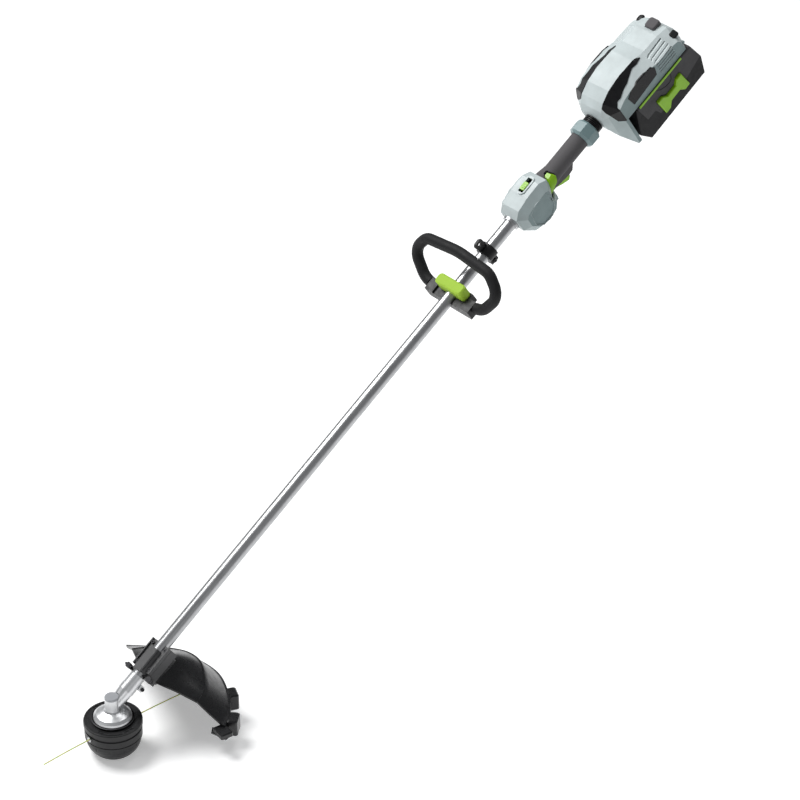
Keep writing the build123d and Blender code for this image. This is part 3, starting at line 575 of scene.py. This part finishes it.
@dataclass(frozen=True)
class ShaftFrame:
    """The tilted frame of everything on the shaft: X across, Y along and Z square to it, in mm."""

    origin: tuple[float, float, float]
    along: tuple[float, float, float]

    @classmethod
    def from_record(cls) -> "ShaftFrame":
        """Reads the drive joint's place and axis.

        Returns:
            The frame that they give.
        """
        joints = frame["record"]["behaviour"]["joints"]
        drive = next(joint for joint in joints if joint["name"] == "drive_spin")
        return cls(tuple(drive["pos_m"]), tuple(drive["axis"]))

    def matrix(self) -> Matrix:
        """Gives the step between the two frames.

        Returns:
            The transform from the shaft's frame in mm to the row frame in metres.
        """
        along = Vector(self.along).normalized()
        across = Vector((1.0, 0.0, 0.0))
        up = across.cross(along)
        turn = Matrix((across, along, up)).transposed().to_4x4()
        return Matrix.Translation(Vector(self.origin)) @ turn @ Matrix.Scale(0.001, 4)

    def at(self, across: float, along: float, up: float) -> Vector:
        """Returns a shaft place, in mm, as a row-frame place in metres."""
        return self.matrix() @ Vector((across, along, up))


SHAFT = ShaftFrame.from_record()


def mesh_piece(name: str, points: Sequence[Vector], faces: Sequence[Sequence[int]]) -> bpy.types.Object:
    """Makes a mesh object with outward faces.

    Args:
        name: the piece's name.
        points: its vertices, in metres, in the row frame.
        faces: its faces, as vertex numbers.

    Returns:
        The new object, linked to the scene.
    """
    mesh = bpy.data.meshes.new(name)
    mesh.from_pydata([tuple(point) for point in points], [], faces)
    work = bmesh.new()
    work.from_mesh(mesh)
    bmesh.ops.remove_doubles(work, verts=work.verts, dist=1e-6)
    bmesh.ops.recalc_face_normals(work, faces=work.faces)
    work.to_mesh(mesh)
    work.free()
    piece = bpy.data.objects.new(name, mesh)
    bpy.context.scene.collection.objects.link(piece)
    return piece


def smooth(piece: bpy.types.Object, angle: float = 32.0) -> bpy.types.Object:
    """Shades a piece smooth, except on its sharp edges.

    Args:
        piece: the piece.
        angle: edges sharper than this many degrees stay sharp.

    Returns:
        The same piece.
    """
    piece.data.shade_smooth()
    piece.data.set_sharp_from_angle(angle=math.radians(angle))
    return piece


def lofted(rings: Sequence[Sequence[Vector]], closed: bool) -> tuple[list[Vector], list[tuple[int, ...]]]:
    """Joins rings of equal length into a skin.

    Args:
        rings: the rings, each a closed loop of places.
        closed: whether the last ring joins the first; otherwise both ends are capped.

    Returns:
        The skin's places and faces.
    """
    count = len(rings[0])
    places = [place for ring in rings for place in ring]
    pairs = list(zip(range(len(rings)), range(1, len(rings)))) + ([(len(rings) - 1, 0)] if closed else [])
    faces = [
        (a * count + i, a * count + (i + 1) % count, b * count + (i + 1) % count, b * count + i)
        for a, b in pairs
        for i in range(count)
    ]
    if not closed:
        faces += [tuple(range(count)), tuple(range(len(places) - count, len(places)))]
    return places, faces


def turned_piece(name: str, profile: Sequence[Point], base: Matrix, steps: int = 72) -> bpy.types.Object:
    """Makes a ring or disc by turning a profile.

    Args:
        name: the piece's name.
        profile: a closed outline of (radius, height) in mm.
        base: the transform whose Z the profile is turned round, from mm to metres.
        steps: how many steps go round.

    Returns:
        The new piece, shaded smooth.
    """
    rings = []
    for step in range(steps):
        turn = 2 * math.pi * step / steps
        rings.append([base @ Vector((r * math.cos(turn), r * math.sin(turn), z)) for r, z in profile])
    return smooth(mesh_piece(name, *lofted(rings, True)))


def carved_block(size: Place, base: Matrix, chamfer: float) -> tuple[list[Vector], list[tuple[int, ...]]]:
    """Gives a block whose upright corners and top edge are cut back.

    Args:
        size: its width, depth and height in mm.
        base: the transform of its middle, from mm to metres.
        chamfer: how far the corners and the top edge are cut, in mm.

    Returns:
        The block's places and faces.
    """
    wide, deep, tall = (extent / 2 for extent in size)
    rings = []
    for height, inset in ((-tall, chamfer), (chamfer - tall, 0.0), (tall - chamfer, 0.0), (tall, chamfer)):
        x, y, c = wide - inset, deep - inset, chamfer
        corners = (
            (x - c, -y), (x, c - y), (x, y - c), (x - c, y),
            (c - x, y), (-x, y - c), (-x, c - y), (c - x, -y),
        )
        rings.append([base @ Vector((*corner, height)) for corner in corners])
    return lofted(rings, False)


def round_edges(piece: bpy.types.Object, width: float, segments: int = 2, angle: float = 32.0) -> None:
    """Adds a small bevel with hardened normals on sharp edges.

    Args:
        piece: the object.
        width: the bevel's width in mm.
        segments: how many strips the bevel has.
        angle: edges sharper than this many degrees are bevelled.
    """
    bevel = piece.modifiers.new("rounded_edges", "BEVEL")
    bevel.width = width / 1000.0
    bevel.segments = segments
    bevel.limit_method = "ANGLE"
    bevel.angle_limit = math.radians(angle)
    bevel.harden_normals = True


# ---------------------------------------------------------------- studio


@dataclass
class Studio:
    """The plain floor, soft lights and the camera."""

    azimuth: float = 48.92
    elevation: float = 33.21
    distance: float = 6.54
    target: Place = (0.0, 0.7229, 0.4835)
    lens: float = 151.0
    floor_drop: float = 0.0005
    floor_size: float = 30.0
    lamps: tuple[tuple[str, Place, float, float], ...] = (
        ("key_light", (-2.4, -0.6, 4.6), 2.6, 225.0),
        ("fill_light", (3.4, -2.4, 1.3), 2.2, 22.0),
        ("top_light", (-0.6, 2.8, 4.4), 2.2, 40.0),
    )
    sky: Colour = (0.92, 0.94, 0.96)
    sky_strength: float = 0.24

    def build(self) -> None:
        """Makes the camera, the floor, the lights and the pale surroundings."""
        self.camera()
        self.floor()
        self.lights()

    def camera(self) -> None:
        """Makes the camera at its azimuth, elevation and distance."""
        turn, rise = math.radians(self.azimuth), math.radians(self.elevation)
        back = Vector((math.sin(turn) * math.cos(rise), -math.cos(turn) * math.cos(rise), math.sin(rise)))
        data = bpy.data.cameras.new("camera")
        data.lens = self.lens
        data.sensor_width = 36.0
        data.clip_end = 100.0
        camera = bpy.data.objects.new("camera", data)
        camera.location = Vector(self.target) + back * self.distance
        camera.rotation_mode = "QUATERNION"
        camera.rotation_quaternion = (-back).to_track_quat("-Z", "Y")
        bpy.context.scene.collection.objects.link(camera)
        bpy.context.scene.camera = camera

    def floor(self) -> None:
        """Makes the pale floor just under the lowest point."""
        size = self.floor_size
        signs = ((-1, -1), (1, -1), (1, 1), (-1, 1))
        corners = [Vector((x * size, y * size, -self.floor_drop)) for x, y in signs]
        floor = mesh_piece("floor", corners, [(0, 1, 2, 3)])
        graph = Graph("pale_floor")
        graph.set(Base_Color=(0.93, 0.93, 0.93), Roughness=0.9)
        graph.set(Emission_Color=(1.0, 1.0, 1.0), Emission_Strength=0.30)
        floor.data.materials.append(graph.material)

    def lights(self) -> None:
        """Makes the three soft lights and the pale surroundings."""
        for name, place, size, power in self.lamps:
            data = bpy.data.lights.new(name, "AREA")
            data.shape = "DISK"
            data.size = size
            data.energy = power
            light = bpy.data.objects.new(name, data)
            light.location = place
            light.rotation_mode = "QUATERNION"
            light.rotation_quaternion = (Vector(self.target) - Vector(place)).to_track_quat("-Z", "Y")
            bpy.context.scene.collection.objects.link(light)
        world = bpy.data.worlds.new("surroundings")
        world.use_nodes = True
        colour, strength = world.node_tree.nodes["Background"].inputs[:2]
        colour.default_value = (*self.sky, 1.0)
        strength.default_value = self.sky_strength
        bpy.context.scene.world = world
        bpy.context.scene.view_settings.view_transform = "Standard"


# ---------------------------------------------------------------- cutting lines


@dataclass
class CuttingLine:
    """One free stretch of cutting line, from its eyelet to its bare tip."""

    side: int
    node: str
    radius: float = 1.2
    route: tuple[Point, ...] = ((57.5, 50.7), (93.0, 50.5), (128.0, 49.4), (163.0, 47.4))

    def build(self) -> bpy.types.Object:
        """Makes the line as a smooth curve and works out its real length, which is not used.

        Returns:
            The line.
        """
        curve = bpy.data.curves.new(self.node + "_piece", "CURVE")
        curve.dimensions = "3D"
        curve.bevel_depth = self.radius / 1000.0
        curve.bevel_resolution = 4
        curve.use_fill_caps = True
        spline = curve.splines.new("NURBS")
        spline.points.add(len(self.route) - 1)
        for point, (reach, height) in zip(spline.points, self.route):
            point.co = (*to_metres((0.0, self.side * reach, height)), 1.0)
        spline.use_endpoint_u = True
        spline.order_u = 3
        spline.resolution_u = 12
        piece = bpy.data.objects.new(self.node + "_piece", curve)
        bpy.context.scene.collection.objects.link(piece)
        piece.data.materials.append(PALETTE.line.material())
        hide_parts(self.node)
        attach(piece, "head")
        steps = zip(self.route, self.route[1:])
        length = sum(math.hypot(b[0] - a[0], b[1] - a[1]) for a, b in steps) / 1000.0
        return piece


# ---------------------------------------------------------------- guard


@dataclass
class Guard:
    """The moulded canopy: two swept panels that meet in a crease, a hanging lip, lugs and a saddle."""

    rim: tuple[Place, ...] = (
        (-181.0, 168.0, 60.0), (-143.0, 202.0, 62.0), (-82.0, 234.0, 64.0), (-28.0, 246.0, 65.0),
        (22.0, 244.0, 65.0), (76.0, 221.0, 64.0), (122.0, 188.0, 61.0), (140.0, 159.0, 56.0),
    )
    root: tuple[Place, ...] = (
        (-22.0, 88.0, 127.0), (-23.0, 100.0, 136.0), (-22.0, 116.0, 146.0), (-9.0, 132.0, 156.0),
        (9.0, 132.0, 156.0), (22.0, 116.0, 146.0), (23.0, 100.0, 136.0), (22.0, 88.0, 127.0),
    )
    wall: float = 3.2
    lip: float = 22.0
    crown_share: float = 0.60
    crown_rise: float = 15.0
    spans: int = 8
    shoulder_profile: tuple[Point, ...] = (
        (1.4, 0.01), (0.3, 0.05), (0.0, 0.12), (0.0, 0.23), (1.1, 0.26), (1.1, 0.3), (0.4, 0.33),
    )
    lip_profile: tuple[Point, ...] = ((0.4, 0.82), (0.0, 0.86), (0.0, 0.97), (0.6, 1.0))
    lugs: tuple[tuple[Place, Place, float, float], ...] = (
        ((30.0, 20.0, 36.0), (73.0, 231.0, 43.0), -24.0, 2.5),
        ((32.0, 20.0, 36.0), (133.0, 186.0, 41.0), -50.0, 2.5),
        ((34.0, 26.0, 12.0), (143.0, 152.0, 46.0), -8.0, 2.0),
    )
    saddle_size: Place = (50.0, 60.0, 7.5)
    saddle_middle: Place = (0.0, 114.0, -26.25)

    def build(self) -> bpy.types.Object:
        """Makes the canopy and its blocks as one mesh.

        Returns:
            The guard, which stands for the frame's guard.
        """
        steps = [step / self.spans for step in range((len(self.rim) - 1) * self.spans + 1)]
        places, faces = lofted([self.section(step) for step in steps], False)
        for size, base, chamfer in self.blocks():
            more, sides = carved_block(size, base, chamfer)
            faces += [tuple(number + len(places) for number in side) for side in sides]
            places += more
        piece = smooth(mesh_piece("guard_canopy", places, faces), 24.0)
        piece.data.materials.append(PALETTE.guard.material())
        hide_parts("guard_shield")
        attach(piece, "frame")
        return piece

    def blocks(self) -> list[tuple[Place, Matrix, float]]:
        """Places the lugs, the corner block and the saddle.

        Returns:
            The size, transform and chamfer of each.
        """
        blocks = []
        for size, middle, turn, chamfer in self.lugs:
            spin = Matrix.Rotation(math.radians(turn), 4, "Z")
            blocks.append((size, Matrix.Scale(0.001, 4) @ Matrix.Translation(middle) @ spin, chamfer))
        saddle = SHAFT.matrix() @ Matrix.Translation(self.saddle_middle)
        return blocks + [(self.saddle_size, saddle, 1.0)]

    def along(self, points: tuple[Place, ...], step: float) -> Vector:
        """Gives a place on a smooth line through points.

        Args:
            points: the points that the line runs through.
            step: how far along it is, in spans from the first point.

        Returns:
            The place, in mm.
        """
        near = min(int(step), len(points) - 2)
        share = step - near
        a, b, c, d = (Vector(points[min(max(near + k, 0), len(points) - 1)]) for k in (-1, 0, 1, 2))
        curve = 2 * b + (c - a) * share + (2 * a - 5 * b + 4 * c - d) * share**2
        return (curve + (3 * b - a - 3 * c + d) * share**3) / 2

    def section(self, step: float) -> list[Vector]:
        """Gives one upright slice of the canopy.

        Args:
            step: how far along the rim the slice is, in spans.

        Returns:
            A closed loop from the root over the crease to the lip and back under, in metres.
        """
        root, rim = self.along(self.root, step), self.along(self.rim, step)
        up = Vector((0.0, 0.0, 1.0))
        level = (root - rim) * Vector((1.0, 1.0, 0.0))
        level.normalize()
        crown = root.lerp(rim, self.crown_share) + up * self.crown_rise
        drop_to = self.lip * min(1.0, 0.2 + 0.8 * step)
        loop = [root.lerp(crown, k / 7) + up * 10.0 * (k / 7) * (1 - k / 7) for k in range(7)]
        loop += [crown - up * 0.6, crown + level * -1.2 + up * 0.5, crown - level * 2.6 - up * 0.4]
        shoulder = rim + level * 4.0 + (crown - rim) * 0.02
        outer = crown - level * 2.6 - up * 1.2
        loop += [outer.lerp(shoulder, k / 6) - up * 6.0 * (k / 6) * (1 - k / 6) for k in range(1, 7)]
        inner_lip = ((self.wall + 1.0, 1.0), (self.wall, 0.86))
        for inset, share in self.shoulder_profile + self.lip_profile + inner_lip:
            loop.append(rim + level * inset - up * drop_to * share)
        under = rim + level * (self.wall + 2.0) - up * min(self.wall * 1.2, drop_to * 0.8)
        below = crown - up * self.wall
        inner_root = root - up * self.wall
        loop += [under, under.lerp(below, 0.5) - up * 1.4, below]
        loop += [below.lerp(inner_root, 0.5) + up * 2.0, inner_root]
        return [to_metres(place) for place in loop]


# ---------------------------------------------------------------- details


@dataclass
class HeadMarks:
    """The raised bead and arcs on the cutting head's top face."""

    top: float = 73.0
    proud: float = 0.9
    ease: float = 0.35
    bead: tuple[Point, ...] = (
        (54.0, -0.4), (54.2, 0.5), (54.8, 0.8), (55.4, 0.4), (55.7, -1.4), (54.6, -1.2),
    )
    arcs: tuple[tuple[float, float, float, float], ...] = (
        (50.8, 53.0, -62.0, -18.0), (50.8, 53.0, 58.0, 102.0), (50.8, 53.0, 178.0, 222.0),
        (43.2, 44.2, 10.0, 48.0), (43.2, 44.2, 130.0, 168.0), (43.2, 44.2, 250.0, 288.0),
    )

    def build(self) -> None:
        """Makes the bead round the rim and the raised arcs."""
        top = self.top
        bead = [(radius, top + rise) for radius, rise in self.bead]
        self.finish(turned_piece("head_rim_bead", bead, Matrix.Scale(0.001, 4), 96))
        for number, (inner, outer, start, end) in enumerate(self.arcs):
            self.finish(self.arc(f"head_mark_{number}", inner, outer, start, end))

    def arc(self, name: str, inner: float, outer: float, start: float, end: float) -> bpy.types.Object:
        """Makes one raised arc with eased edges.

        Args:
            name: the piece's name.
            inner: its inner radius in mm.
            outer: its outer radius in mm.
            start: where it starts, in degrees.
            end: where it ends, in degrees.

        Returns:
            The arc.
        """
        low, high, ease = self.top - 0.4, self.top + self.proud, self.ease
        profile = (
            (inner, low), (inner, high - ease), (inner + ease, high),
            (outer - ease, high), (outer, high - ease),
        )
        rings = []
        for step in range(17):
            turn = math.radians(start + (end - start) * step / 16)
            ring = [(r * math.cos(turn), r * math.sin(turn), z) for r, z in (*profile, (outer, low))]
            rings.append([to_metres(place) for place in ring])
        return smooth(mesh_piece(name, *lofted(rings, False)))

    def finish(self, piece: bpy.types.Object) -> None:
        """Gives a mark the head's finish and makes it turn with the head.

        Args:
            piece: the mark.
        """
        dress(piece, PALETTE.head)
        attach(piece, "head")


@dataclass
class BumpSpring:
    """The coil spring inside the head, with closed end coils; on the real head it shortens as the knob is
    bumped, but this piece keeps its full length.
    """

    start: float = 27.3
    end: float = 62.1
    radius: float = 10.1
    wire: float = 0.8
    turns: int = 8
    travel: float = 4.0
    seat: float = 64.0

    def build(self) -> bpy.types.Object:
        """Makes the coil, fixes it to the head and gives it its own mesh.

        Returns:
            The spring, which stands for the frame's spring.
        """
        steps = self.turns * 24
        rings = [self.ring(step / steps) for step in range(steps + 1)]
        piece = smooth(mesh_piece("bump_spring_coil", *lofted(rings, False)), 50.0)
        dress(piece, PALETTE.steel)
        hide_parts("bump_spring")
        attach(piece, "head")
        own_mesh(piece)
        return piece

    def ring(self, share: float) -> list[Vector]:
        """Gives the wire's round section, nearly level in the closed end coils.

        Args:
            share: how far along the wire it is, from 0 to 1.

        Returns:
            The section's places, in metres.
        """
        turn = 2 * math.pi * self.turns * share
        closed = 1.0 / self.turns
        rise = min(max((share - closed) / (1.0 - 2.0 * closed), 0.0), 1.0)
        height = self.start + (self.end - self.start) * (0.06 * share + 0.94 * rise)
        sides = [2 * math.pi * side / 8 for side in range(8)]
        reach = [(self.radius + self.wire * math.cos(a), height + self.wire * math.sin(a)) for a in sides]
        return [to_metres((r * math.cos(turn), r * math.sin(turn), z)) for r, z in reach]


@dataclass
class SideBeads:
    """The raised beads moulded on the flat sides: round the switch panels and on the battery's face."""

    panel: tuple[Point, ...] = (
        (1244, 12), (1262, 22), (1292, 20), (1300, 4), (1296, -22), (1280, -38), (1254, -36), (1240, -18),
    )
    panel_side: float = 37.6
    panel_radius: float = 1.1
    arc: tuple[Point, ...] = (
        (1639, -10), (1635, -22), (1628, -24.5), (1618, -24), (1603, -18), (1596, -10),
    )
    arc_side: float = 64.0
    arc_radius: float = 0.8

    def build(self) -> None:
        """Makes the two panel beads and the arc."""
        for name, side in (("left", self.panel_side), ("right", -self.panel_side)):
            bead = self.bead(f"panel_bead_{name}", self.panel, side, self.panel_radius, True)
            dress(bead, PALETTE.shell)
            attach(bead, "frame")
        arc = self.bead("battery_arc", self.arc, self.arc_side, self.arc_radius, False)
        dress(arc, PALETTE.black)
        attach(arc, "battery")

    def bead(
        self, name: str, path: Sequence[Point], side: float, radius: float, closed: bool
    ) -> bpy.types.Object:
        """Makes a round bead along a path on a flat side.

        Args:
            name: the piece's name.
            path: its corners as (along, up) in mm.
            side: how far across the side lies, in mm.
            radius: the bead's radius in mm.
            closed: whether the path closes on itself.

        Returns:
            The bead.
        """
        rings, last = [], len(path) - 1
        for number, (along, up) in enumerate(path):
            before = path[number - 1] if closed or number else path[0]
            after = path[(number + 1) % len(path)] if closed or number < last else path[last]
            way = Vector((after[0] - before[0], after[1] - before[1])).normalized()
            ring = []
            for turn in (2 * math.pi * step / 8 for step in range(8)):
                reach = radius * math.cos(turn)
                across = side + radius * math.sin(turn)
                ring.append(SHAFT.at(across, along - way.y * reach, up + way.x * reach))
            rings.append(ring)
        return smooth(mesh_piece(name, *lofted(rings, closed)), 60.0)


@dataclass
class RearDetails:
    """The ribbed boot at the neck and the rubber corners of the rear housing."""

    boot_start: float = 1462.4
    boot_end: float = 1477.4
    ribs: int = 4
    bore: float = 13.3
    valley: float = 17.6
    crest: float = 20.4
    corner_sides: tuple[float, ...] = (-46.0, 46.0)
    corner_along: float = 1697.0
    corner_up: float = 37.0
    corner_size: Place = (15, 17, 9)
    corner_chamfer: float = 2.4
    corner_tilt: float = 28.0

    def build(self) -> None:
        """Makes the boot and the two corners."""
        pitch = (self.boot_end - self.boot_start) / self.ribs
        profile = [(self.bore, self.boot_start)]
        rib_shape = ((self.valley, 0.0), (self.crest, 0.35), (self.crest, 0.65), (self.valley, 0.98))
        for rib in range(self.ribs):
            low = self.boot_start + rib * pitch
            profile += [(radius, low + share * pitch) for radius, share in rib_shape]
        profile.append((self.bore, self.boot_end))
        base = SHAFT.matrix() @ Matrix.Rotation(math.radians(-90.0), 4, "X")
        self.finish(turned_piece("neck_boot", profile, base))
        for side in self.corner_sides:
            tilt = Matrix.Rotation(math.radians(math.copysign(self.corner_tilt, side)), 4, "Y")
            base = SHAFT.matrix() @ Matrix.Translation((side, self.corner_along, self.corner_up)) @ tilt
            name = f"rear_corner_{'right' if side < 0 else 'left'}"
            self.finish(smooth(mesh_piece(name, *carved_block(self.corner_size, base, self.corner_chamfer))))

    def finish(self, piece: bpy.types.Object) -> None:
        """Gives a rubber piece its finish and fixes it to the frame.

        Args:
            piece: the rubber piece.
        """
        dress(piece, PALETTE.black)
        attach(piece, "frame")


# ---------------------------------------------------------------- frame dressing


@dataclass
class FrameDressing:
    """The finishes and rounded edges of the nodes that keep their own shape."""

    widths: ClassVar[dict[str, float]] = {
        "rear_housing_left": 3.0,
        "rear_housing_right": 3.0,
        "switch_housing_left": 2.0,
        "switch_housing_right": 2.0,
        "loop_clamp_base": 1.6,
        "loop_clamp_cap": 1.2,
        "neck_collar": 2.0,
        "battery_cover": 1.5,
        "battery_case": 1.5,
        "battery_latch": 1.0,
    }

    def build(self) -> None:
        """Dresses every node in the finish of its slot."""
        slots = {part["node"]: part["material_slot"] for part in frame["record"]["subparts"]}
        finishes = PALETTE.by_slot()
        for name, node in frame["nodes"].items():
            dress(node, PALETTE.lime if name == "loop_clamp_cap" else finishes[slots[name]])
            round_edges(node, self.widths.get(name, 0.5))
            LOG.info("dressed %s", name)


def main() -> None:
    """Builds the scene in order: camera and cords first, then each sub-assembly."""
    logging.basicConfig(level=logging.INFO, format="%(name)s: %(message)s")
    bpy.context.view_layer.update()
    Studio().build()
    LOG.info("studio ready")
    for side, node in ((-1, "cutting_line_front"), (1, "cutting_line_rear")):
        LOG.info("made %s", CuttingLine(side, node).build().name)
    FrameDressing().build()
    for assembly in (Guard(), HeadMarks(), BumpSpring(), SideBeads(), RearDetails()):
        assembly.build()
        LOG.info("made %s", type(assembly).__name__)


if __name__ == "__main__":
    main()
